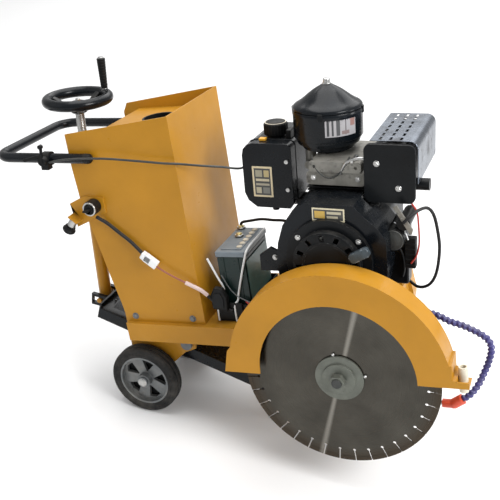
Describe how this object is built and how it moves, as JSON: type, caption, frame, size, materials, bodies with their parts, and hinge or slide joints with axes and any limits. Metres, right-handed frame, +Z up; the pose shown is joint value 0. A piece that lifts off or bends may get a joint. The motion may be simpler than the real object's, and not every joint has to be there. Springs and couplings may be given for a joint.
{
  "type": "walk-behind concrete saw",
  "caption": "Walk-behind floor saw: guarded diamond blade on a deck with engine, belt drive, water tank, handlebar, rear wheels and a hand-wheel swing frame.",
  "frame": {"origin": "on the floor, under the middle of the machine's plan box, in the transport position", "axes": "+X forward towards the blade's front, +Y to the machine's left, +Z up"},
  "size_m": [1.3995, 0.542, 1.0174],
  "materials": {
    "yellow_paint": "gloss",
    "black_paint": "semi-gloss",
    "black_plastic": "satin",
    "black_rubber": "matte",
    "tyre_rubber": "matte",
    "zinc_steel": "satin",
    "blade_steel": "satin",
    "cast_aluminium": "satin",
    "cast_iron": "rough",
    "battery_green": "gloss",
    "hose_blue": "gloss",
    "red_plastic": "gloss",
    "cream_paint": "satin"
  },
  "bodies": {
    "chassis": {"deck": "yellow_paint", "water_tank": "yellow_paint", "axle_pins": "zinc_steel", "handlebar": "black_paint", "v_belts": "black_rubber", "belt_cover": "yellow_paint", "pillow_blocks": "cast_iron", "blade_guard": "yellow_paint", "spray_pipe": "zinc_steel", "pointer_socket": "cream_paint", "crankcase": "black_paint", "cylinder_block": "black_paint", "cylinder_head": "cast_aluminium", "fan_shroud": "black_paint", "recoil_cover": "black_paint", "fuel_tank": "black_paint", "intake_elbow": "cast_aluminium", "air_cleaner": "black_paint", "air_cleaner_dome": "black_paint", "muffler": "black_paint", "muffler_shield": "zinc_steel", "starter_motor": "black_paint", "battery": "battery_green", "battery_tray": "black_paint", "switch_bracket": "yellow_paint", "switch_bodies": "black_plastic", "lever_clamp": "black_plastic", "water_valve": "zinc_steel", "hose_couplings": "red_plastic", "water_hose": "hose_blue", "throttle_cable": "black_rubber", "harness": "black_rubber", "bolts": "zinc_steel"},
    "rear_wheel_right": {"rear_tyre_right": "tyre_rubber", "rear_hub_right": "cast_aluminium"},
    "rear_wheel_left": {"rear_tyre_left": "tyre_rubber", "rear_hub_left": "cast_aluminium"},
    "swing": {"swing_frame": "black_paint"},
    "front_wheel_right": {"front_tyre_right": "tyre_rubber", "front_hub_right": "cast_aluminium"},
    "front_wheel_left": {"front_tyre_left": "tyre_rubber", "front_hub_left": "cast_aluminium"},
    "lift_nut": {"lift_tube": "yellow_paint"},
    "lift_wheel": {"lift_screw": "zinc_steel", "hand_wheel": "black_plastic"},
    "crank_handle": {"crank_grip": "black_plastic"},
    "blade_drive": {"arbor_shaft": "zinc_steel", "blade": "blade_steel", "flange_set": "cast_aluminium", "blade_pulley": "cast_iron"},
    "engine_drive": {"crankshaft": "zinc_steel", "engine_pulley": "cast_iron"},
    "throttle": {"throttle_lever": "black_plastic"},
    "key": {"switch_key": "zinc_steel"},
    "stop": {"stop_knob": "black_plastic"},
    "fuel_filler": {"fuel_cap": "black_paint"},
    "cleaner_lock": {"cleaner_nut": "black_paint"},
    "recoil_handle": {"starter_handle": "zinc_steel"},
    "decompression": {"decomp_lever": "zinc_steel"},
    "water_tap": {"valve_lever": "red_plastic"}
  },
  "joints": [
    {"name": "rear_wheel_right_spin", "type": "hinge", "parent": "chassis", "child": "rear_wheel_right", "pos_m": [-0.2456, -0.1025, 0.106], "axis": [0, 1, 0], "continuous": true},
    {"name": "rear_wheel_left_spin", "type": "hinge", "parent": "chassis", "child": "rear_wheel_left", "pos_m": [-0.2456, 0.1965, 0.106], "axis": [0, 1, 0], "continuous": true},
    {"name": "swing_lift", "type": "hinge", "parent": "chassis", "child": "swing", "pos_m": [-0.12224, 0.047, 0.23488], "axis": [0, -1, 0], "range_deg": [0, 27]},
    {"name": "front_wheel_right_spin", "type": "hinge", "parent": "swing", "child": "front_wheel_right", "pos_m": [0.2744, -0.003, 0.08], "axis": [0, 1, 0], "continuous": true},
    {"name": "front_wheel_left_spin", "type": "hinge", "parent": "swing", "child": "front_wheel_left", "pos_m": [0.2744, 0.097, 0.08], "axis": [0, 1, 0], "continuous": true},
    {"name": "lift_nut_slide", "type": "slide", "parent": "chassis", "child": "lift_nut", "axis": [0.0576, 0, -0.9983], "range_m": [0, 0.165]},
    {"name": "hand_wheel_turn", "type": "hinge", "parent": "chassis", "child": "lift_wheel", "pos_m": [-0.49329, 0.047, 0.88982], "axis": [-0.0576, 0, 0.9983], "range_deg": [0, 6000]},
    {"name": "crank_grip_spin", "type": "hinge", "parent": "lift_wheel", "child": "crank_handle", "pos_m": [-0.44813, 0.11622, 0.94851], "axis": [-0.0576, 0, 0.9983], "continuous": true},
    {"name": "blade_spin", "type": "hinge", "parent": "chassis", "child": "blade_drive", "pos_m": [0.37153, -0.236, 0.34549], "axis": [0, 1, 0], "continuous": true},
    {"name": "engine_spin", "type": "hinge", "parent": "chassis", "child": "engine_drive", "pos_m": [0.31063, 0.047, 0.62136], "axis": [0, 1, 0], "continuous": true},
    {"name": "throttle_turn", "type": "hinge", "parent": "chassis", "child": "throttle", "pos_m": [-0.49074, -0.16, 0.77162], "axis": [0, 1, 0], "range_deg": [-50, 0]},
    {"name": "key_turn", "type": "hinge", "parent": "chassis", "child": "key", "pos_m": [-0.36403, -0.153, 0.64916], "axis": [0, -1, 0], "range_deg": [0, 90]},
    {"name": "stop_pull", "type": "slide", "parent": "chassis", "child": "stop", "axis": [-0.5299, 0, -0.848], "range_m": [0, 0.01]},
    {"name": "fuel_cap_turn", "type": "hinge", "parent": "chassis", "child": "fuel_filler", "pos_m": [0.0889, 0.071, 0.86094], "axis": [-0.0872, 0, 0.9962], "range_deg": [0, 90]},
    {"name": "cleaner_nut_turn", "type": "hinge", "parent": "chassis", "child": "cleaner_lock", "pos_m": [0.22856, 0.041, 1.00868], "axis": [-0.0872, 0, 0.9962], "continuous": true},
    {"name": "recoil_pull", "type": "slide", "parent": "chassis", "child": "recoil_handle", "axis": [0, -1, 0], "range_m": [0, 0.03], "stiffness_N_per_m": 150, "springref_m": -0.02},
    {"name": "decomp_turn", "type": "hinge", "parent": "chassis", "child": "decompression", "pos_m": [0.33277, -0.037, 0.85016], "axis": [-0.0872, 0, 0.9962], "range_deg": [-75, 0]},
    {"name": "water_tap_turn", "type": "hinge", "parent": "chassis", "child": "water_tap", "pos_m": [0.46001, -0.093, 0.47087], "axis": [-0.1564, 0, 0.9877], "range_deg": [0, 90]}
  ],
  "couplings": [
    {"joint": "lift_nut_slide", "follows": "swing_lift", "m_per_rad": 0.3391},
    {"joint": "hand_wheel_turn", "follows": "swing_lift", "ratio": 213.06},
    {"joint": "engine_spin", "follows": "blade_spin", "ratio": 1.4546}
  ]
}
